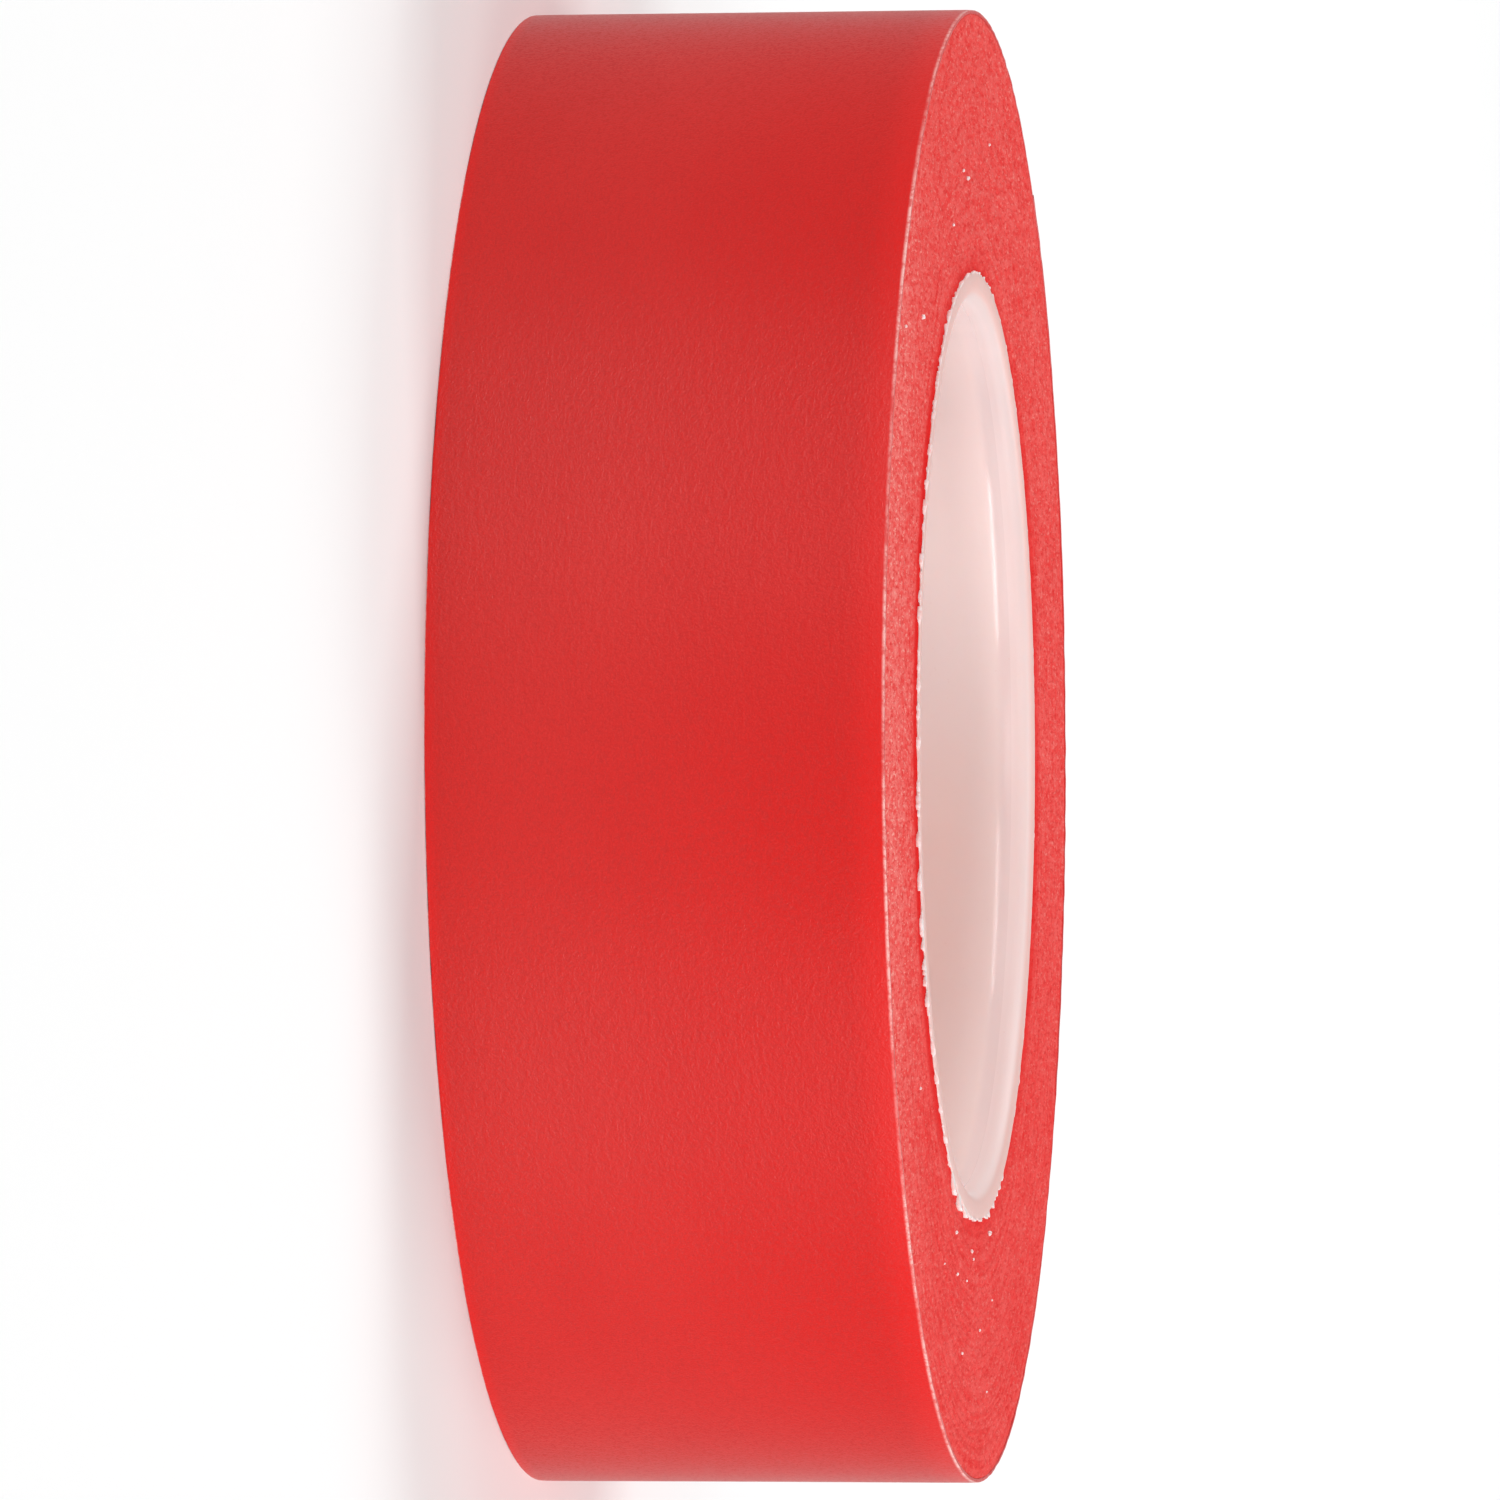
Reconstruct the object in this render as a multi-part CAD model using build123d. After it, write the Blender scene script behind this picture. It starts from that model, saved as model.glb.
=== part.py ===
from build123d import *
import math
import os

os.makedirs("parts", exist_ok=True)

# A roll of electrical insulating tape, lying flat: the roll's axis is +Z and its lower edge face is z = 0.
# The roll is one long laminated strip, a PVC film with an adhesive coat on its inner side, wound on a plastic core.
# Millimetres throughout.

# ---- strip ----
TAPE_WIDTH = 19.0  # width of the strip, so also the height of the roll
TAPE_LENGTH = 10000.0  # the whole strip, from the core to the free end
FILM_T = 0.14  # PVC film
ADHESIVE_T = 0.04  # adhesive coat under it; the laminate is 0.18 thick
HAIRLINE = 0.006  # air left between one turn and the next
PITCH = FILM_T + ADHESIVE_T + HAIRLINE  # radius gained in one turn

# ---- core ----
CORE_BORE_R = 19.05  # 1.5 inch bore
CORE_WALL = 1.35
CORE_R = CORE_BORE_R + CORE_WALL
CORE_GAP = 0.02  # between the core and the first turn
CORE_RECESS = 0.05  # each end of the core sits this far inside the strip's edge
FLARE_DEPTH = 1.5  # each mouth of the bore opens out over this depth...
FLARE_STEP = 0.25  # ...by this much on the radius
FLARE_EASE_R = 2.0  # soft corner between the flare and the straight bore
RIM_R = 0.18  # soft corner of the core's end face

# ---- free end ----
FREE_END_ANGLE = 141.0  # where the strip ends, counter-clockwise from +X seen from +Z
LINKS = 4  # rigid lengths that stand for the flexible last 45 mm of the strip
LINK_ANGLE = 20.25  # angle of each length round the roll's axis, about 11.3 mm long
KERF = 0.03  # gap between one length and the next; each hinge lies in the middle of one

# ---- the winding ----
# The spiral is made of half-turns. Even ones are centred on the axis and odd ones on a point half a pitch away,
# so each half-turn meets the next with a common tangent and the radius grows by half a pitch each time.
STEP = PITCH / 2
R0 = CORE_R + CORE_GAP  # inner surface of the first half-turn


def wound_length(half_turns):
    """Length of the strip's middle after a number of half-turns."""
    whole = int(half_turns)
    mid = R0 + (FILM_T + ADHESIVE_T) / 2
    return math.pi * (
        whole * mid
        + STEP * whole * (whole - 1) / 2
        + (half_turns - whole) * (mid + STEP * whole)
    )


lo, hi = 0.0, 1000.0
for _ in range(80):
    half_turns = (lo + hi) / 2
    if wound_length(half_turns) < TAPE_LENGTH:
        lo = half_turns
    else:
        hi = half_turns

END = 180.0 * half_turns  # winding angle of the free end
START_DIR = FREE_END_ANGLE - END  # direction in which the strip leaves the core
PEEL = END - LINKS * LINK_ANGLE  # winding angle of the peel line, where the free end begins


def centre(k):
    """Centre of half-turn k."""
    a = math.radians(START_DIR)
    off = STEP if k % 2 else 0.0
    return (off * math.cos(a), off * math.sin(a))


def arcs(height, a0, a1):
    """Edges of the spiral at a height above the strip's inner surface, between two winding angles."""
    out = []
    k = int(math.floor(a0 / 180.0 + 1e-9))
    while a0 < a1 - 1e-7:
        b = min((k + 1) * 180.0, a1)
        out.append(CenterArc(centre(k), R0 + k * STEP + height, START_DIR + a0, b - a0))
        a0, k = b, k + 1
    return out


def strip(low, high, a0, a1):
    """A length of one layer of the strip, between two heights above its inner surface and two winding angles."""
    inner, outer = arcs(low, a0, a1), arcs(high, a0, a1)
    ends = [Line(inner[0] @ 0, outer[0] @ 0), Line(inner[-1] @ 1, outer[-1] @ 1)]
    return extrude(make_face(Wire(inner + outer + ends)), TAPE_WIDTH)


# ---- core: a thin-walled sleeve whose bore opens out a little at both mouths ----
z0, z1 = CORE_RECESS, TAPE_WIDTH - CORE_RECESS
mouth_r = CORE_BORE_R + FLARE_STEP
section = make_face(
    Polyline(
        (CORE_R, z0),
        (CORE_R, z1),
        (mouth_r, z1),
        (CORE_BORE_R, z1 - FLARE_DEPTH),
        (CORE_BORE_R, z0 + FLARE_DEPTH),
        (mouth_r, z0),
        close=True,
    )
)
section = fillet(
    [v for v in section.vertices() if abs(v.X - CORE_BORE_R) < 1e-6], FLARE_EASE_R
)
section = fillet(
    [v for v in section.vertices() if min(v.Y - z0, z1 - v.Y) < 1e-6], RIM_R
)
core = revolve(Plane.XZ * section, Axis.Z)
export_step(core, "parts/core.step")

# ---- wound tape: every turn from the core to the peel line, each stuck down on the one below ----
# Its outside is the outermost stuck-down turn, which rises by one pitch all the way round and ends in a step at
# the peel line, under the root of the free end.
skin = arcs(FILM_T + ADHESIVE_T, PEEL - 360.0, PEEL)
skin.append(Line(skin[-1] @ 1, skin[0] @ 0))
wound = extrude(make_face(Wire(skin)), TAPE_WIDTH)
wound -= Pos(0, 0, TAPE_WIDTH / 2) * Cylinder(R0, TAPE_WIDTH * 2)
export_step(wound, "parts/tape_wound.step")

# ---- free end: film and adhesive, in short lengths hinged to each other at the film's outer surface ----
half_kerf = math.degrees(KERF / 2 / (R0 + int(PEEL / 180.0) * STEP))
for i in range(LINKS):
    a0 = PEEL + i * LINK_ANGLE + half_kerf
    a1 = PEEL + (i + 1) * LINK_ANGLE - (half_kerf if i < LINKS - 1 else 0.0)
    film = strip(ADHESIVE_T, ADHESIVE_T + FILM_T, a0, a1)
    export_step(film, f"parts/end_film_{i + 1}.step")
    adhesive = strip(0.0, ADHESIVE_T, a0, a1)
    export_step(adhesive, f"parts/end_adhesive_{i + 1}.step")
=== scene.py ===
import math

import bpy
import numpy as np
from mathutils import Matrix, Vector


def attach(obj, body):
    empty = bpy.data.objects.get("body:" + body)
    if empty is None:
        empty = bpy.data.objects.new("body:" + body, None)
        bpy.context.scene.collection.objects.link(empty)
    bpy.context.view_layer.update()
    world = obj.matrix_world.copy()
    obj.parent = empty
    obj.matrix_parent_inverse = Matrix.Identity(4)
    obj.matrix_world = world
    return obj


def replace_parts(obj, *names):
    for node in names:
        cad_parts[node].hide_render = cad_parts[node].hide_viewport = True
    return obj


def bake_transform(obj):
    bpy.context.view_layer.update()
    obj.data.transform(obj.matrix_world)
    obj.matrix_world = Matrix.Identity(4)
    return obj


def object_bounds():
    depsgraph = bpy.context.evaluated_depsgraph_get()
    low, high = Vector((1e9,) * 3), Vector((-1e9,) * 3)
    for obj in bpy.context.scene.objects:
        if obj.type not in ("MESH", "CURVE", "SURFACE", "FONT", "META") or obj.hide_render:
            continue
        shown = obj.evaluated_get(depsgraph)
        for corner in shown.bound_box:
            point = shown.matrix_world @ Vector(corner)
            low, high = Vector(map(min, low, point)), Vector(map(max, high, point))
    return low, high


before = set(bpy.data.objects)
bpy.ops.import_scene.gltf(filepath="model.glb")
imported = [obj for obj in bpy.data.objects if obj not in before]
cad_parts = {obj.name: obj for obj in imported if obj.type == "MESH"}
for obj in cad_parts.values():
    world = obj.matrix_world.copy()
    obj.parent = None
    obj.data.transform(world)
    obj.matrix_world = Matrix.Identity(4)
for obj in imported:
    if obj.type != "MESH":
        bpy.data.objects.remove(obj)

CAD_BOX = [list(v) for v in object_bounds()]

# ---------------------------------------------------------------------------------------------
# The winding, in millimetres: the same strip as the CAD part, half-turn by half-turn.
# ---------------------------------------------------------------------------------------------
WIDTH = round((CAD_BOX[1][2] - CAD_BOX[0][2]) * 1000, 3)
FILM_T, ADHESIVE_T, HAIRLINE = 0.14, 0.04, 0.006
LAMINATE = FILM_T + ADHESIVE_T
PITCH = LAMINATE + HAIRLINE
STEP = PITCH / 2
BORE_R, CORE_R = 19.05, 20.40
R0 = CORE_R + 0.02
LENGTH = 10000.0
END_AT, LINK_ANGLE, LINKS = 141.0, 20.25, 4


def wound(half_turns):
    whole = int(half_turns)
    mid = R0 + LAMINATE / 2
    return math.pi * (whole * mid + STEP * whole * (whole - 1) / 2 + (half_turns - whole) * (mid + STEP * whole))


a, b = 0.0, 1000.0
for _ in range(80):
    m = (a + b) / 2
    a, b = (m, b) if wound(m) < LENGTH else (a, m)
END = 180.0 * m
START = END_AT - END
PEEL = END - LINKS * LINK_ANGLE


def spiral(w, h):
    """x and y, in mm, at winding angle w in degrees and height h above the strip's inner surface."""
    w, h = np.broadcast_arrays(np.asarray(w, float), np.asarray(h, float))
    k = np.floor(w / 180.0 + 1e-9)
    r = R0 + k * STEP + h
    t, s = np.radians(START + w), math.radians(START)
    off = np.where(k % 2 == 1, STEP, 0.0)
    return off * math.cos(s) + r * np.cos(t), off * math.sin(s) + r * np.sin(t)


def arc_mm(w):
    """Length along the strip at winding angle w, near enough for a pattern's coordinate."""
    w = np.asarray(w, float)
    return np.radians(w) * (R0 + LAMINATE / 2) + PITCH * (w / 360.0) ** 2 * math.pi


# ---------------------------------------------------------------------------------------------
# Meshes
# ---------------------------------------------------------------------------------------------
def waves(t, seed, count, low, high, power=0.0):
    """A smooth random curve of angle t (radians) that closes after a full turn; about unit height."""
    rng = np.random.default_rng(seed)
    out = np.zeros_like(np.asarray(t, float))
    total = 0.0
    for _ in range(count):
        f = int(rng.integers(low, high + 1))
        amp = 1.0 / f**power
        out += amp * np.sin(f * t + rng.uniform(0, 2 * math.pi))
        total += amp * amp / 2
    return out / math.sqrt(total)


def make_mesh(name, co_mm, quads, tris=(), attributes=None, smooth=True):
    """A mesh object from points in mm and faces; attributes maps a name to one vector per point."""
    quads, tris = np.asarray(quads, np.int64).reshape(-1, 4), np.asarray(tris, np.int64).reshape(-1, 3)
    mesh = bpy.data.meshes.new(name)
    mesh.vertices.add(len(co_mm))
    mesh.vertices.foreach_set("co", (np.asarray(co_mm, float) * 0.001).astype(np.float32).ravel())
    mesh.loops.add(len(quads) * 4 + len(tris) * 3)
    mesh.polygons.add(len(quads) + len(tris))
    mesh.loops.foreach_set("vertex_index", np.concatenate([quads.ravel(), tris.ravel()]).astype(np.int32))
    starts = np.concatenate([np.arange(len(quads)) * 4, len(quads) * 4 + np.arange(len(tris)) * 3])
    mesh.polygons.foreach_set("loop_start", starts.astype(np.int32))
    mesh.polygons.foreach_set("use_smooth", np.full(len(quads) + len(tris), smooth))
    mesh.update(calc_edges=True)
    mesh.validate()
    for key, values in (attributes or {}).items():
        layer = mesh.attributes.new(key, "FLOAT_VECTOR", "POINT")
        layer.data.foreach_set("vector", np.asarray(values, np.float32).ravel())
    ob = bpy.data.objects.new(name, mesh)
    bpy.context.scene.collection.objects.link(ob)
    return ob


def loft(name, loops, closed_along, attributes=None, caps=True):
    """A skin over a row of closed section loops: loops is (sections, points, 3) in mm."""
    n, m, _ = loops.shape
    i, j = np.meshgrid(np.arange(n if closed_along else n - 1), np.arange(m), indexing="ij")
    i, j = i.ravel(), j.ravel()
    i2, j2 = (i + 1) % n, (j + 1) % m
    quads = np.stack([i * m + j, i2 * m + j, i2 * m + j2, i * m + j2], 1)
    tris = []
    if caps and not closed_along:
        for base, order in ((0, 1), ((n - 1) * m, -1)):
            centre = len(loops.reshape(-1, 3)) + (0 if base == 0 else 1)
            for k in range(m):
                pair = (base + k, base + (k + 1) % m)
                tris.append((centre, *pair[::order]))
        ends = np.stack([loops[0].mean(0), loops[-1].mean(0)])
        co = np.vstack([loops.reshape(-1, 3), ends])
        if attributes:
            attributes = {
                k: np.vstack([v.reshape(-1, 3), v[0].mean(0)[None], v[-1].mean(0)[None]]) for k, v in attributes.items()
            }
    else:
        co = loops.reshape(-1, 3)
        if attributes:
            attributes = {k: v.reshape(-1, 3) for k, v in attributes.items()}
    ob = make_mesh(name, co, quads, tris, attributes)
    if caps and not closed_along:
        # the cut ends meet the skin at a sharp edge, so that the shading runs on into the next length
        ends = np.empty(len(ob.data.edges) * 2, np.int32)
        ob.data.edges.foreach_get("vertices", ends)
        ends = ends.reshape(-1, 2)
        sharp = (ends < m).all(1) | ((ends >= (n - 1) * m) & (ends < n * m)).all(1)
        layer = ob.data.attributes.get("sharp_edge") or ob.data.attributes.new("sharp_edge", "BOOLEAN", "EDGE")
        layer.data.foreach_set("value", sharp)
    return ob


def strip_section(low, high, inset):
    """Heights and z of a strip's cross-section, round its outline, with slightly rounded slit edges."""
    e = min(0.03, (high - low) / 3)
    top, bottom = WIDTH - inset, inset
    z_side = np.concatenate(
        [
            [bottom + 0.05, bottom + 0.12, bottom + 0.3, bottom + 0.7],
            np.linspace(bottom + 1.6, top - 1.6, 15),
            [top - 0.7, top - 0.3, top - 0.12, top - 0.05],
        ]
    )
    outer = [(high, z) for z in z_side]
    over = [(high - e * 0.35, top - 0.012), (high - e, top), (low + e, top), (low + e * 0.35, top - 0.012)]
    inner = [(low, z) for z in z_side[::-1][[0, 2, 3, 6, 10, 14, 17, 19, 20, 22]]]
    under = [(low + e * 0.35, bottom + 0.012), (low + e, bottom), (high - e, bottom), (high - e * 0.35, bottom + 0.012)]
    return np.array(outer + over + inner + under), len(outer)


def strip_piece(name, low, high, w0, w1, step, inset, ripple=0.0, seed=0, edge_wave=0.0, tip=False):
    """A length of the strip between two winding angles, as a closed solid."""
    n = max(2, int(round((w1 - w0) / step)) + 1)
    w = np.linspace(w0, w1, n)
    section, n_outer = strip_section(low, high, inset)
    m = len(section)
    h = np.repeat(section[None, :, 0], n, 0)
    z = np.repeat(section[None, :, 1], n, 0)
    t = np.radians(START + w)
    if ripple:
        # the film isn't perfectly taut: long shallow swells, and a faint fall towards both slit edges
        lift = ripple * (
            0.6 * waves(t, seed + 1, 5, 2, 9)[:, None]
            + 0.4 * waves(t, seed + 2, 6, 5, 22)[:, None] * np.sin(math.pi * z / WIDTH)
            + 0.35 * waves(t, seed + 3, 6, 3, 14)[:, None] * np.cos(2 * math.pi * z / WIDTH)
        )
        fall = -0.010 * np.exp(-np.minimum(z, WIDTH - z) / 0.35)
        calm = np.clip(np.minimum(w - w0, w1 - w) / 8.0, 0, 1)[:, None]  # level where it meets the next length
        h = h + np.where(np.arange(m)[None, :] < n_outer + 4, (lift + fall) * calm, 0.0) * (h > (low + high) / 2)
    if edge_wave:
        top = edge_wave * (0.7 * waves(t, seed + 4, 6, 3, 17) + 0.5 * waves(t, seed + 5, 12, 40, 160))[:, None]
        bottom = edge_wave * (0.7 * waves(t, seed + 6, 6, 3, 17) + 0.5 * waves(t, seed + 7, 12, 40, 160))[:, None]
        z = z + np.clip((z - WIDTH + 1.0), 0, 1) * (top - edge_wave) - np.clip(1.0 - z, 0, 1) * (bottom - edge_wave)
        z = np.clip(z, 0.0, WIDTH)
    x, y = spiral(w[:, None], h)
    loops = np.stack([x, y, z], 2)
    if tip:
        # the cut end: its two corners are a little rounded and the cut isn't dead straight
        pull = np.zeros_like(z)
        edge = np.minimum(z, WIDTH - z)
        pull[-1] = 0.55 * np.exp(-edge[-1] / 0.25) + 0.05 * np.sin(z[-1] * 2.3) + 0.03 * np.sin(z[-1] * 7.1 + 1.0)
        loops[:, :, 0] += pull * np.sin(t)[:, None]
        loops[:, :, 1] -= pull * np.cos(t)[:, None]
    pattern = np.stack([np.repeat(arc_mm(w)[:, None], m, 1), z, h], 2) * 0.001
    return loft(name, loops, False, {"strip": pattern})


def side_height(w, r, t, seed, dish):
    """Height of the slit edges below the rim plane, in mm (negative is lower), at winding angle w and radius r."""
    rng = np.random.default_rng(seed)
    turns = int(np.max(w) / 360.0) + 3
    per_turn = rng.normal(0, 1, turns * 2 + 4)
    u = w / 180.0
    k = np.floor(u).astype(int)
    f = u - k
    f = f * f * (3 - 2 * f)
    wander = per_turn[k] * (1 - f) + per_turn[k + 1] * f
    slow = np.interp(u, np.arange(len(per_turn)), np.convolve(per_turn, np.ones(9) / 9, "same"))
    share = np.clip((31.85 - r) / (31.85 - R0), 0, 1)
    return -dish * share**1.25 + 0.010 * wander + 0.022 * slow - 0.02 + 0.006 * waves(t, seed + 1, 8, 2, 11)


def tape_pack(name, w_end, per_turn, seed):
    """All the turns under the outermost one, as one closed mesh that follows the real spiral: each turn's slit edge is a ridge with a groove beside it, on both faces."""
    step = 360.0 / per_turn
    n = int(w_end / step)
    w = w_end - n * step + np.arange(n + 1) * step
    t = np.radians(START + w)
    rng = np.random.default_rng(seed)
    xr, yr = spiral(w, FILM_T / 2 + ADHESIVE_T)
    xg, yg = spiral(w, PITCH)
    xi, yi = R0 * np.cos(t[:per_turn]), R0 * np.sin(t[:per_turn])
    r_ridge, r_groove = np.hypot(xr, yr), np.hypot(xg, yg)

    def face(seed, dish, sign):
        ridge = side_height(w, r_ridge, t, seed, dish) + rng.normal(0, 0.0075, n + 1)
        groove = side_height(w, r_groove, t, seed, dish) - 0.024 + rng.normal(0, 0.007, n + 1)
        inner = side_height(w[:per_turn], np.full(per_turn, R0), t[:per_turn], seed, dish) - 0.03
        base = WIDTH if sign > 0 else 0.0
        return [base + sign * np.minimum(q, -0.004) for q in (ridge, groove, inner)]

    top, bottom = face(seed + 10, 0.13, 1), face(seed + 20, 0.11, -1)
    co, off = [], []
    for zr, zg, zi in (top, bottom):
        off.append(sum(len(c) for c in co))
        co += [np.stack([xr, yr, zr], 1), np.stack([xg, yg, zg], 1), np.stack([xi, yi, zi], 1)]
    co = np.vstack(co)
    quads = []
    p = per_turn
    for side, o in enumerate(off):
        R = lambda j: o + j
        G = lambda j: o + (n + 1) + j
        inner_ids = np.concatenate([o + 2 * (n + 1) + np.arange(p), [G(0)]])
        j = np.arange(n)
        a_ = np.stack([R(j), G(j), G(j + 1), R(j + 1)], 1)  # outward across each strip's outer half
        j = np.arange(n - p)
        b_ = np.stack([G(j), R(j + p), R(j + p + 1), G(j + 1)], 1)  # from a turn's groove to the next turn
        j = np.arange(p)
        c_ = np.stack([inner_ids[j], R(j), R(j + 1), inner_ids[j + 1]], 1)  # the first turn's inner half
        q = np.vstack([a_, b_, c_])
        quads.append(q if side == 0 else q[:, ::-1])
        loops_in = np.concatenate([inner_ids, [R(0)]])
        loops_out = np.concatenate([G(np.arange(n - p, n + 1)), [R(n)]])
        if side == 0:
            top_in, top_out = loops_in, loops_out
    k = np.arange(len(top_in))
    k2 = (k + 1) % len(k)
    quads.append(np.stack([top_in[k], top_in[k2], loops_in[k2], loops_in[k]], 1))
    k = np.arange(len(top_out))
    k2 = (k + 1) % len(k)
    quads.append(np.stack([top_out[k2], top_out[k], loops_out[k], loops_out[k2]], 1))
    quads = np.vstack(quads)
    return make_mesh(name, co, quads)


def core_sleeve(name, n, seed):
    """The plastic core: straight bore, a flare at each mouth with a soft crease, and sawn ends whose burr is smeared outwards over the first turns of tape."""
    t = np.arange(n) * 2 * math.pi / n
    flare, depth, ease = 0.25, 1.5, 3.2
    z1, z0 = WIDTH - 0.05, 0.05
    slope = math.atan2(flare, depth)
    tangent = ease * math.tan(slope / 2)
    crease = []
    for q in np.linspace(0, 1, 7):
        # along the soft corner, from the flare (q 0) to the straight bore (q 1)
        phi = slope * (1 - q)
        crease.append((BORE_R + ease * (1 - math.cos(phi)), depth + tangent - ease * math.sin(phi)))
    # radius, depth inside the end, and how far along the burr a point lies (0 at its root, 1 at its tip)
    half = (
        [(CORE_R, 9.0, 0), (CORE_R, 2.0, 0), (CORE_R, 0.8, 0), (CORE_R, 0.40, 0), (CORE_R, 0.26, 0)]
        + [(CORE_R, 0.215, 0.35), (CORE_R, 0.205, 0.70), (CORE_R, 0.180, 0.94), (CORE_R, 0.085, 1.0)]
        + [(CORE_R, 0.055, 0.94), (CORE_R, 0.045, 0.70), (CORE_R, 0.035, 0.35), (CORE_R - 0.03, 0.020, 0)]
        + [(CORE_R - 0.12, 0.006, 0), (20.18, 0.0, 0), (20.08, 0.001, 0), (19.98, 0.006, 0), (19.88, 0.017, 0), (19.78, 0.034, 0)]
        + [(19.69, 0.057, 0), (19.60, 0.087, 0), (19.52, 0.124, 0), (19.45, 0.168, 0), (19.39, 0.222, 0), (19.335, 0.290, 0), (19.285, 0.370, 0)]
        + [(BORE_R + flare * (1 - d / depth), d, 0) for d in (0.5, 0.7, 0.95, 1.2)]
        + [(r, d, 0) for r, d in crease]
        + [(BORE_R, d, 0) for d in (2.3, 4.2, 9.0)]
    )
    upper = [(r, z1 - d, f, 1) for r, d, f in half]
    lower = [(r, z0 + d, f, -1) for r, d, f in half[::-1]]
    section = np.array(upper + lower)
    m = len(section)
    r = np.repeat(section[None, :, 0], n, 0)
    z = np.repeat(section[None, :, 1], n, 0)
    along = np.repeat(section[None, :, 2], n, 0)
    for sign, base, s in ((1, z1, seed), (-1, z0, seed + 50)):
        here = section[None, :, 3] == sign
        depth_in = sign * (base - z)  # how far inside this end
        coarse, middle, fine = waves(t, s + 1, 24, 25, 80), waves(t, s + 2, 36, 80, 180), waves(t, s + 3, 40, 220, 420)
        patchy = 0.65 + 0.35 * waves(t, s + 4, 5, 2, 9)
        side = np.clip(0.85 - 1.45 * np.sin(t), 0.10, 2.1) * (1 - 0.45 * np.clip(-np.cos(t), 0, 1))  # the saw left most of it on one side
        jag = np.clip(0.65 * coarse + 0.62 * middle + 0.16 * fine + 0.45, 0.02, 1.5)
        burr = np.clip(side * np.clip(patchy, 0.25, 1.3) * 0.27 * jag + 0.025 + 0.010 * fine, 0.010, 0.8)
        r += here * along * burr[:, None]
        curl = (0.055 * coarse + 0.050 * middle + 0.012 * fine + 0.050) * np.clip(side, 0.2, 1.0)
        z += here * (depth_in < 0.1) * sign * along**2 * np.clip(curl, -0.02, 0.16 if sign > 0 else 0.03)[:, None]
        # the sawn end isn't flat either: a faint ripple across it, and a nibbled inner edge
        face = here & (depth_in < 0.03) & (along == 0) & (r > 19.5)
        z += sign * face * (0.006 * middle[:, None] * np.sin(r * 9.0 + 40 * waves(t, s + 5, 3, 1, 6)[:, None] * 0.05) - 0.006)
    # the moulded wall is a hair out of true, which softens its reflections
    wall = (r < 19.4).astype(float)
    r += wall * (0.010 * waves(t, seed + 7, 4, 2, 5)[:, None])
    loops = np.stack([r * np.cos(t)[:, None], r * np.sin(t)[:, None], z], 2)
    co = loops.reshape(-1, 3)
    i, j = np.meshgrid(np.arange(n), np.arange(m), indexing="ij")
    i, j = i.ravel(), j.ravel()
    quads = [np.stack([i * m + j, (i + 1) % n * m + j, (i + 1) % n * m + (j + 1) % m, i * m + (j + 1) % m], 1)]
    # crumbs of the sawn plastic stuck to the tape beside it
    rng = np.random.default_rng(seed + 90)
    for angle, radius, size in CRUMBS:
        a, rings, spokes = math.radians(angle), 7, 10
        lat = np.linspace(0.12, math.pi - 0.12, rings)[:, None]
        lon = (np.arange(spokes) * 2 * math.pi / spokes)[None, :]
        lump = size * (1 + rng.uniform(-0.28, 0.28, (rings, spokes)))
        blob = np.stack([lump * np.sin(lat) * np.cos(lon), lump * 1.25 * np.sin(lat) * np.sin(lon), lump * 0.85 * np.cos(lat) + 0 * lon], 2)
        blob = blob.reshape(-1, 3) + [radius * math.cos(a), radius * math.sin(a), WIDTH - 0.14 * (1 - (radius - R0) / 12) + size * 0.35]
        base = len(co)
        p, q = np.meshgrid(np.arange(rings - 1), np.arange(spokes), indexing="ij")
        p, q = p.ravel(), q.ravel()
        quads.append(base + np.stack([p * spokes + q, (p + 1) * spokes + q, (p + 1) * spokes + (q + 1) % spokes, p * spokes + (q + 1) % spokes], 1))
        co = np.vstack([co, blob])
        for ring, flip in ((0, False), (rings - 1, True)):
            ids = base + ring * spokes + np.arange(spokes)
            fan = [[ids[k], ids[(k + 1) % spokes], ids[(-k - 2) % spokes], ids[(-k - 1) % spokes]] for k in range(spokes // 2 - 1)]
            fan = np.array(fan)
            quads.append(fan[:, ::-1] if flip else fan)
    return make_mesh(name, co, np.vstack(quads))


# angle round from +X, distance from the axis and half-size, in degrees and mm
CRUMBS = [(-22.0, 22.3, 0.08), (8.5, 21.4, 0.11), (-8.0, 21.9, 0.08), (-6.5, 22.2, 0.06), (-30.0, 25.2, 0.05), (-12.0, 23.4, 0.05)]
CRUMBS += [(-20.0, 23.9, 0.07), (-1.5, 25.2, 0.06), (9.0, 24.4, 0.05), (-15.0, 26.8, 0.06), (3.0, 28.0, 0.05), (226.3, 25.9, 0.10)]
CRUMBS += [(234.9, 30.1, 0.07), (187.5, 24.6, 0.09), (191.0, 25.1, 0.07), (171.0, 26.5, 0.07), (200.0, 23.6, 0.06), (-55.0, 24.8, 0.06)]


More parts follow.
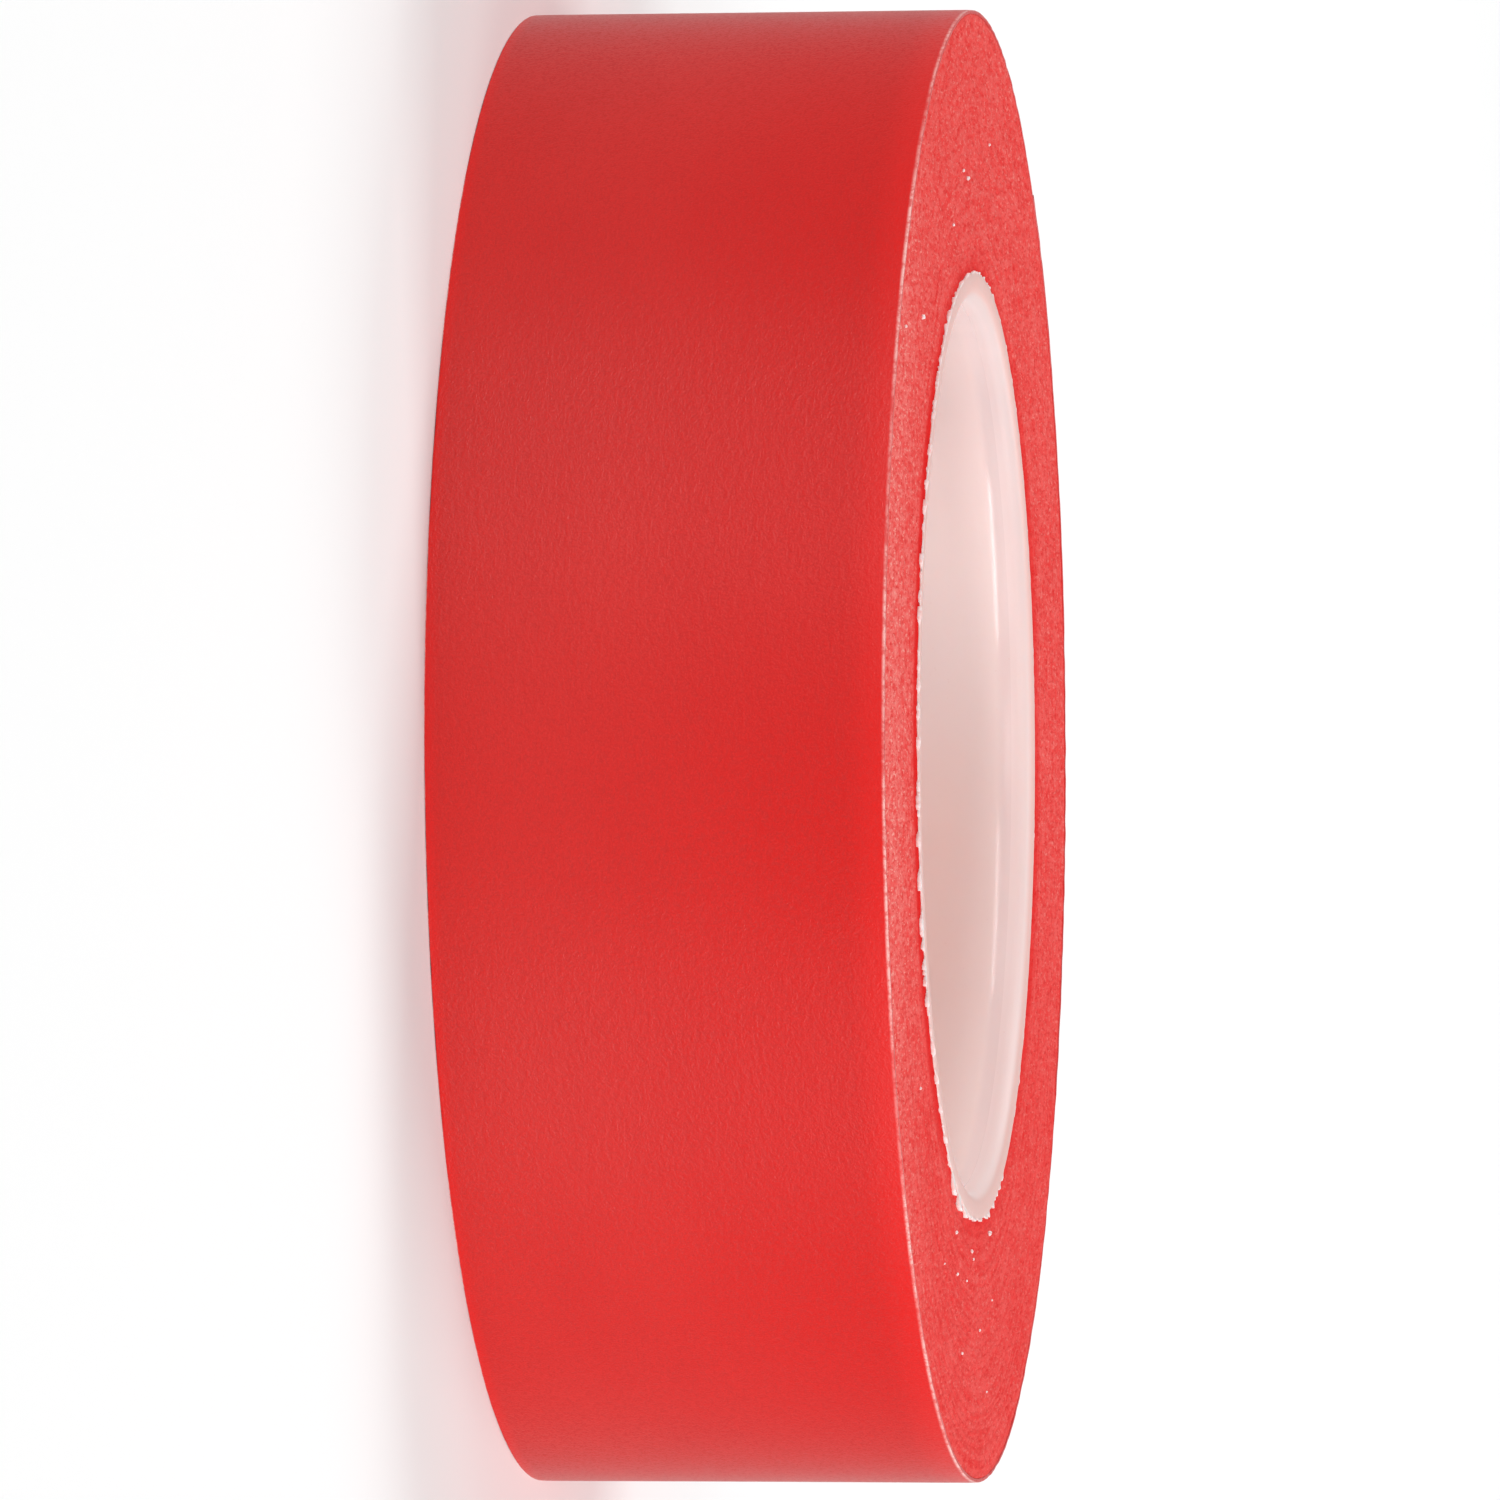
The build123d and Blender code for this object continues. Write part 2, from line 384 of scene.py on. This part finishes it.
# ---------------------------------------------------------------------------------------------
# Materials: all procedural, in metres, so a noise scale of 5000 is a grain of about 0.2 mm
# ---------------------------------------------------------------------------------------------
class Graph:
    def __init__(self, name):
        self.mat = bpy.data.materials.new(name)
        self.mat.use_nodes = True
        self.tree = self.mat.node_tree
        self.tree.nodes.clear()
        self.out = self.node("ShaderNodeOutputMaterial")
        self.bsdf = self.node("ShaderNodeBsdfPrincipled")
        self.tree.links.new(self.bsdf.outputs["BSDF"], self.out.inputs["Surface"])

    def node(self, kind, **props):
        n = self.tree.nodes.new(kind)
        for k, v in props.items():
            setattr(n, k, v)
        return n

    def put(self, socket, value):
        if isinstance(value, bpy.types.NodeSocket):
            self.tree.links.new(value, socket)
        else:
            socket.default_value = value

    def math(self, op, a, b=0.0, c=0.0, clamp=False):
        n = self.node("ShaderNodeMath", operation=op, use_clamp=clamp)
        for s, v in zip(n.inputs, (a, b, c)):
            self.put(s, v)
        return n.outputs[0]

    def ramp(self, value, low, high, to_low=0.0, to_high=1.0, smooth=True):
        n = self.node("ShaderNodeMapRange", interpolation_type="SMOOTHSTEP" if smooth else "LINEAR")
        for s, v in zip(n.inputs, (value, low, high, to_low, to_high)):
            self.put(s, v)
        return n.outputs[0]

    def mix(self, factor, a, b):
        n = self.node("ShaderNodeMix", data_type="RGBA", blend_type="MIX")
        self.put(n.inputs[0], factor)
        self.put(n.inputs[6], (*a, 1.0) if isinstance(a, tuple) else a)
        self.put(n.inputs[7], (*b, 1.0) if isinstance(b, tuple) else b)
        return n.outputs[2]

    def noise(self, co, scale, detail=2.0, rough=0.5, distortion=0.0):
        n = self.node("ShaderNodeTexNoise", noise_dimensions="3D")
        self.put(n.inputs["Vector"], co)
        self.put(n.inputs["Scale"], scale)
        self.put(n.inputs["Detail"], detail)
        self.put(n.inputs["Roughness"], rough)
        self.put(n.inputs["Distortion"], distortion)
        return n.outputs["Fac"]

    def cells(self, co, scale, feature="F1", smooth=0.0):
        n = self.node("ShaderNodeTexVoronoi", feature=feature)
        self.put(n.inputs["Vector"], co)
        self.put(n.inputs["Scale"], scale)
        return n.outputs["Distance"]

    def scaled(self, co, factors):
        n = self.node("ShaderNodeVectorMath", operation="MULTIPLY")
        self.put(n.inputs[0], co)
        n.inputs[1].default_value = factors
        return n.outputs[0]

    def split(self, co):
        n = self.node("ShaderNodeSeparateXYZ")
        self.put(n.inputs[0], co)
        return n.outputs

    def radius(self, co):
        flat = self.scaled(co, (1.0, 1.0, 0.0))
        n = self.node("ShaderNodeVectorMath", operation="LENGTH")
        self.put(n.inputs[0], flat)
        return n.outputs["Value"]

    def along(self, value):
        n = self.node("ShaderNodeCombineXYZ")
        self.put(n.inputs[0], value)
        return n.outputs[0]

    def bump(self, height, strength, distance, normal=None):
        n = self.node("ShaderNodeBump")
        n.inputs["Strength"].default_value = strength
        n.inputs["Distance"].default_value = distance
        self.put(n.inputs["Height"], height)
        if normal is not None:
            self.put(n.inputs["Normal"], normal)
        return n.outputs["Normal"]

    def attribute(self, name):
        return self.node("ShaderNodeAttribute", attribute_name=name).outputs["Vector"]

    def object_co(self):
        return self.node("ShaderNodeTexCoord").outputs["Object"]

    def set(self, **values):
        for k, v in values.items():
            self.put(self.bsdf.inputs[k.replace("_", " ")], (*v, 1.0) if isinstance(v, tuple) and len(v) == 3 and "Radius" not in k else v)


def film_material():
    """Calendered red PVC: a soft sheen broken by a fine pebble grain, a little paler where the slit edge is stressed."""
    g = Graph("red_vinyl_film")
    co = g.attribute("strip")
    _, v, h = g.split(co)
    pebble = g.noise(co, 4600.0, 2.0, 0.55, 0.3)
    fine = g.noise(co, 10500.0, 1.5, 0.6, 0.2)
    patch = g.noise(g.scaled(co, (0.55, 1.0, 1.0)), 150.0, 3.0, 0.55)
    draw = g.noise(g.scaled(co, (0.02, 1.0, 1.0)), 900.0, 2.0, 0.5)
    grain = g.math("ADD", g.math("MULTIPLY", pebble, 0.55), g.math("MULTIPLY", fine, 0.45))
    plateau = g.ramp(grain, 0.36, 0.56)  # 0 down in the grain's pits
    base = g.mix(g.ramp(patch, 0.35, 0.65), (0.582, 0.0180, 0.0155), (0.602, 0.0205, 0.0172))
    base = g.mix(g.ramp(v, 0.0030, 0.0180, 0.0, 0.85), base, (0.594, 0.0065, 0.0048))  # a shade deeper towards the upper edge
    # painted shade: a darker red down in the grain's pits
    base = g.mix(g.math("MULTIPLY", g.math("SUBTRACT", 1.0, plateau), 0.27), base, (0.420, 0.0050, 0.0045))
    base = g.mix(g.math("MULTIPLY", g.ramp(fine, 0.50, 0.66), 0.20), base, (0.740, 0.030, 0.026))
    edge = g.math("MINIMUM", g.math("MULTIPLY_ADD", v, 3.0, 0.00003), g.math("SUBTRACT", WIDTH * 0.001, v))
    base = g.mix(g.ramp(edge, 0.0019, 0.0002, 0.0, 0.50), base, (0.760, 0.0100, 0.0080))  # painted light: a brighter, less hazy red by both slit edges
    broken = g.ramp(g.noise(co, 2600.0, 3.0, 0.7), 0.38, 0.58)
    stress = g.math("MULTIPLY", g.ramp(edge, 0.00019, 0.00004), g.math("MULTIPLY_ADD", broken, 0.66, 0.32))
    stress = g.math("MULTIPLY", stress, g.ramp(g.noise(g.scaled(co, (1.0, 0.0, 0.0)), 110.0, 2.0), 0.38, 0.56, 0.35, 1.0))
    stress = g.math("MULTIPLY", stress, g.ramp(h, 0.000120, 0.000165))
    base = g.mix(stress, base, (0.92, 0.50, 0.46))
    rough = g.math("MULTIPLY_ADD", plateau, -0.16, 0.44)  # the pits are matte
    peel = g.noise(g.scaled(co, (0.60, 1.0, 1.0)), 3600.0, 2.0, 0.5, 0.3)
    normal = g.bump(peel, 1.0, 0.000010)
    normal = g.bump(grain, 1.0, 0.000026, normal)
    normal = g.bump(draw, 0.05, 0.000060, normal)
    g.set(Base_Color=base, Roughness=rough, Normal=normal)
    g.bsdf.inputs["IOR"].default_value = 1.5
    g.bsdf.inputs["Specular IOR Level"].default_value = 0.29
    g.bsdf.inputs["Sheen Weight"].default_value = 0.33
    g.bsdf.inputs["Sheen Roughness"].default_value = 0.22
    g.bsdf.inputs["Sheen Tint"].default_value = (1.0, 0.82, 0.80, 1.0)
    return g.mat


def side_material():
    """The slit edges of all the turns: matte, mottled pinkish red with pale torn specks, clean saturated red next to the core. The face has been dragged along Y, which draws the marks out that way."""
    g = Graph("red_slit_edges")
    co = g.object_co()
    x, y, _ = g.split(co)
    r = g.radius(co)
    drawn = g.scaled(co, (1.0, 0.26, 1.0))
    broad = g.noise(g.scaled(co, (1.0, 0.5, 1.0)), 300.0, 3.0, 0.6)
    mottle = g.noise(drawn, 1700.0, 3.0, 0.65, 0.2)
    grain = g.noise(drawn, 5600.0, 2.0, 0.6)
    cloud = g.noise(drawn, 3100.0, 3.0, 0.66, 0.2)
    dots = g.noise(drawn, 6500.0, 2.0, 0.6)
    beside = g.math("ADD", r, g.ramp(g.math("ABSOLUTE", x), 0.012, 0.020, 0.0, 0.0011))
    out = g.ramp(beside, 0.0211, 0.0231)
    painted_side_light = g.math("MULTIPLY", g.ramp(y, -0.014, -0.030), g.ramp(r, 0.0215, 0.0305, 0.55, 1.0))
    wear_and_side_light = g.math("MULTIPLY_ADD", painted_side_light, 0.64, 0.40)  # pale specking all over as wear, plus painted light: paler on the -Y side, most near the rim
    # painted shade: the wear and side light fade towards +X
    wear_and_side_light = g.math("MULTIPLY", wear_and_side_light, g.ramp(x, 0.001, 0.017, 1.0, 0.60))
    base = g.mix(g.ramp(mottle, 0.34, 0.66), (0.770, 0.0130, 0.0120), (0.830, 0.0260, 0.0240))
    base = g.mix(g.math("MULTIPLY", g.ramp(broad, 0.42, 0.68), 0.45), base, (0.870, 0.065, 0.060))
    base = g.mix(g.math("MULTIPLY", g.math("MULTIPLY", wear_and_side_light, out), 0.55), base, (0.890, 0.120, 0.110))
    pale = g.math("MULTIPLY", g.ramp(cloud, 0.34, 0.70), g.math("MULTIPLY", g.math("MULTIPLY_ADD", out, 0.75, 0.15), wear_and_side_light))
    base = g.mix(pale, base, (0.920, 0.230, 0.205))
    chip = g.math("MULTIPLY", g.ramp(dots, 0.55, 0.68), g.math("MULTIPLY", out, g.math("MULTIPLY_ADD", wear_and_side_light, 0.55, 0.05)))
    base = g.mix(chip, base, (0.950, 0.480, 0.410))
    # painted shade: a darker red where the grain is low
    dark = g.math("MULTIPLY", g.ramp(grain, 0.48, 0.35), 0.55)
    base = g.mix(dark, base, (0.660, 0.0110, 0.0100))
    rings = g.ramp(g.noise(g.along(r), 2500.0, 3.0, 0.72), 0.44, 0.60)  # turns that stand a little proud
    base = g.mix(g.math("MULTIPLY", rings, g.math("MULTIPLY_ADD", out, 0.13, 0.03)), base, (0.900, 0.190, 0.170))
    inner = g.math("MULTIPLY", g.ramp(beside, 0.0223, 0.0208), g.ramp(y, 0.004, 0.019, 0.85, 0.10))
    base = g.mix(inner, base, (0.750, 0.0100, 0.0090))
    rough = g.math("MULTIPLY_ADD", mottle, 0.15, 0.52)
    normal = g.bump(g.math("ADD", grain, g.math("MULTIPLY", cloud, 0.8)), 0.8, 0.000045)
    g.set(Base_Color=base, Roughness=rough, Normal=normal)
    g.bsdf.inputs["IOR"].default_value = 1.5
    g.bsdf.inputs["Specular IOR Level"].default_value = 0.03
    return g.mat


def core_material():
    """Glossy off-white moulded plastic, a little translucent, with painted shade and a painted red bounce light in its
    colour, and a darker pink painted on its sawn ends as shade and red bounce.
    """
    g = Graph("offwhite_core_plastic")
    co = g.object_co()
    r = g.radius(co)
    x, _, z = g.split(co)
    end = g.math("MINIMUM", z, g.math("SUBTRACT", WIDTH * 0.001, z))
    cloud = g.noise(g.scaled(co, (1.0, 1.0, 0.35)), 90.0, 3.0, 0.55)
    speck = g.noise(co, 3600.0, 2.0, 0.6)
    # painted shade: the bore's colour is a darker cream towards -X
    base = g.mix(g.ramp(x, -0.0190, -0.0070), (0.735, 0.580, 0.565), (0.962, 0.780, 0.752))
    # painted red bounce light: pinker towards +X, less so near the ends
    painted_bounce_pink = g.mix(g.ramp(x, 0.0090, 0.0180), (0.980, 0.670, 0.614), (0.955, 0.695, 0.650))
    base = g.mix(g.math("MULTIPLY", g.ramp(x, -0.0050, 0.0060), g.ramp(end, 0.0013, 0.0042, 0.35, 1.0)), base, painted_bounce_pink)
    # painted shade: the flares a little darker than the wall, darker still towards -X
    flare = g.mix(g.ramp(x, -0.0190, 0.0040), (0.718, 0.570, 0.562), (0.892, 0.690, 0.668))
    base = g.mix(g.ramp(end, 0.00170, 0.00130), base, flare)
    base = g.mix(g.math("MULTIPLY", g.ramp(cloud, 0.35, 0.68), 0.25), base, (0.935, 0.760, 0.735))
    base = g.mix(g.math("MULTIPLY", g.ramp(speck, 0.30, 0.22), 0.25), base, (0.84, 0.56, 0.52))
    # painted shade and red bounce: the sawn end rings get a darker pink, near the bore's painted colour
    sawn = g.math("MULTIPLY", g.ramp(end, 0.00050, 0.00012), g.ramp(r, 0.01932, 0.01970))
    base = g.mix(sawn, base, (0.845, 0.525, 0.485))
    torn = g.math("MULTIPLY", g.ramp(r, 0.02038, 0.02048), g.ramp(speck, 0.40, 0.56, 0.35, 1.0))
    base = g.mix(torn, base, (0.930, 0.850, 0.835))
    rough = g.math("ADD", g.math("MULTIPLY_ADD", cloud, 0.05, 0.14), g.math("MULTIPLY", g.ramp(end, 0.00125, 0.00050), 0.36))
    normal = g.bump(g.noise(co, 700.0, 2.0, 0.5), 0.10, 0.000020)
    g.set(Base_Color=base, Roughness=rough, Normal=normal)
    g.bsdf.inputs["IOR"].default_value = 1.49
    g.bsdf.inputs["Subsurface Weight"].default_value = 0.25
    g.bsdf.inputs["Subsurface Radius"].default_value = (1.0, 0.55, 0.45)
    g.bsdf.inputs["Subsurface Scale"].default_value = 0.0012
    return g.mat


def adhesive_material():
    """The tacky side: the red film seen through a thin clear coat, with the faint tracks left by unwinding."""
    g = Graph("clear_adhesive_on_red")
    co = g.attribute("strip")
    tracks = g.noise(g.scaled(co, (1.0, 0.12, 1.0)), 1400.0, 3.0, 0.6)
    blotch = g.noise(co, 700.0, 3.0, 0.6)
    base = g.mix(g.ramp(blotch, 0.35, 0.7), (0.430, 0.014, 0.012), (0.560, 0.030, 0.026))
    base = g.mix(g.math("MULTIPLY", g.ramp(tracks, 0.55, 0.75), 0.35), base, (0.70, 0.11, 0.10))
    rough = g.math("MULTIPLY_ADD", blotch, 0.25, 0.12)
    normal = g.bump(g.math("ADD", tracks, g.math("MULTIPLY", blotch, 0.6)), 0.45, 0.000050)
    g.set(Base_Color=base, Roughness=rough, Normal=normal)
    g.bsdf.inputs["IOR"].default_value = 1.47
    return g.mat


def floor_material():
    g = Graph("pale_floor")
    co = g.object_co()
    soft = g.noise(co, 3.0, 2.0, 0.5)
    g.set(Base_Color=g.mix(soft, (0.960, 0.960, 0.960), (0.975, 0.975, 0.975)), Roughness=1.0)
    g.bsdf.inputs["Specular IOR Level"].default_value = 0.0
    return g.mat


FILM, SIDE, CORE, ADHESIVE = film_material(), side_material(), core_material(), adhesive_material()


def dress(ob, material):
    ob.data.materials.clear()
    ob.data.materials.append(material)
    return ob


# ---------------------------------------------------------------------------------------------
# The roll
# ---------------------------------------------------------------------------------------------
pack = dress(tape_pack("wound_turns", PEEL - 360.0, 400, 11), SIDE)
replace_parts(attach(pack, "roll"), "tape_wound")

wrap = dress(strip_piece("outer_turn", 0.0, LAMINATE, PEEL - 360.0, PEEL, 0.5, 0.0, ripple=0.012, seed=30, edge_wave=0.012), FILM)
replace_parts(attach(wrap, "roll"), "tape_wound")

core = dress(core_sleeve("core_sleeve", 1200, 5), CORE)
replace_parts(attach(core, "roll"), "core")

# The free end: five lengths of film, each with its adhesive, cut half a link past each of the four hinge angles.
hinges = [PEEL + i * LINK_ANGLE for i in range(LINKS)]
cuts = [PEEL] + [q + LINK_ANGLE / 2 for q in hinges] + [END]


for i in range(len(cuts) - 1):
    w0, w1 = cuts[i], cuts[i + 1]
    last = i == len(cuts) - 2
    layers = (
        ("end_strip_film", ADHESIVE_T, LAMINATE, 0.0, FILM, "pvc_film", "end_film"),
        ("end_strip_adhesive", 0.0, ADHESIVE_T, 0.015, ADHESIVE, "adhesive", "end_adhesive"),
    )
    for label, low, high, inset, material, slot_name, node in layers:
        piece = dress(
            strip_piece(f"{label}_{i + 1}", low, high, w0, w1, 0.35, inset, ripple=0.0, seed=30, edge_wave=0.012 if inset == 0 else 0.0, tip=last),
            material,
        )
        if last:
            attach(piece, f"end_length_{LINKS}")
        elif i == 0:
            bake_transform(piece)
        else:
            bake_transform(piece)
        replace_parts(piece, f"{node}_{min(i + 1, LINKS)}")

# ---------------------------------------------------------------------------------------------
# Floor, light and camera
# ---------------------------------------------------------------------------------------------
bpy.ops.mesh.primitive_circle_add(vertices=96, radius=6.0, fill_type="NGON", location=(0, 0, 0))
floor = bpy.context.object
floor.name = "floor"
dress(floor, floor_material())
floor.visible_glossy = False  # the glossy parts mirror a dim studio, not an endless white floor

world = bpy.data.worlds.new("studio")
bpy.context.scene.world = world
world.use_nodes = True
world.node_tree.nodes["Background"].inputs[0].default_value = (1.0, 1.0, 1.0, 1.0)
world.node_tree.nodes["Background"].inputs[1].default_value = 0.26


def softbox(name, at, aim, size_x, size_y, watts, colour=(1.0, 1.0, 1.0)):
    lamp = bpy.data.lights.new(name, "AREA")
    lamp.shape = "RECTANGLE"
    lamp.size, lamp.size_y = size_x, size_y
    lamp.energy = watts
    lamp.color = colour
    ob = bpy.data.objects.new(name, lamp)
    bpy.context.scene.collection.objects.link(ob)
    ob.location = at
    d = Vector(aim) - Vector(at)
    ob.rotation_euler = d.to_track_quat("-Z", "Y").to_euler()
    return ob


MID = (0.0, 0.0, WIDTH * 0.0005)


def around(name, azimuth, elevation, size, watts, size_y=None):
    """A softbox a metre from the roll; azimuth 0 is the main camera's side, positive towards +X."""
    p, e = math.radians(azimuth), math.radians(elevation)
    at = Vector(MID) + Vector((math.sin(p) * math.cos(e), -math.cos(p) * math.cos(e), math.sin(e)))
    return softbox(name, at, MID, size, size_y or size, watts)


around("softbox_high_left", -120, 42, 0.45, 4.20)
around("softbox_high_back", 150, 42, 0.45, 2.60)
around("softbox_left", -60, 24, 0.35, 0.85)
around("softbox_front", 0, 24, 0.35, 1.66)
around("softbox_right", 45, 24, 0.35, 1.60)
around("softbox_far_right", 90, 24, 0.35, 3.90)
around("softbox_back_right", 142, 10, 0.30, 0.45)
around("strip_key", 52, 4.0, 0.85, 2.00, 0.04)
around("strip_fill", -45, 4.0, 0.90, 1.30, 0.04)
around("strip_low_fill", -42, 1.3, 0.80, 0.65, 0.04)
around("strip_low_front", -16, 1.3, 0.50, 0.22, 0.04)

# The camera that the photograph was fitted with: distances in radii of the roll, for a 36 mm wide sensor.
CAMERA_R = 31.765
axis = np.array([0.98999246, 0.0037369, 0.14107077])  # the roll's axis, in the camera's frame
rim = np.array([0.31386, 0.00511, -16.76955]) * CAMERA_R  # the near rim's centre
zr = axis / np.linalg.norm(axis)
up = np.array([0.0, 1.0, 0.0])
xr = -(up - zr * (up @ zr))
xr /= np.linalg.norm(xr)
yr = np.cross(zr, xr)
to_row = np.stack([xr, yr, zr])
eye = to_row @ (-rim) + np.array([0.0, 0.0, WIDTH])
camera = bpy.data.cameras.new("camera")
camera.sensor_width = 36.0
camera.lens = 296.0
camera.clip_start, camera.clip_end = 0.05, 50.0
eye_ob = bpy.data.objects.new("camera", camera)
bpy.context.scene.collection.objects.link(eye_ob)
pose = Matrix.Identity(4)
for i in range(3):
    for j in range(3):
        pose[i][j] = float(to_row[i, j])
    pose[i][3] = float(eye[i]) * 0.001
eye_ob.matrix_world = pose
bpy.context.scene.camera = eye_ob
bpy.context.scene.view_settings.view_transform = "Standard"
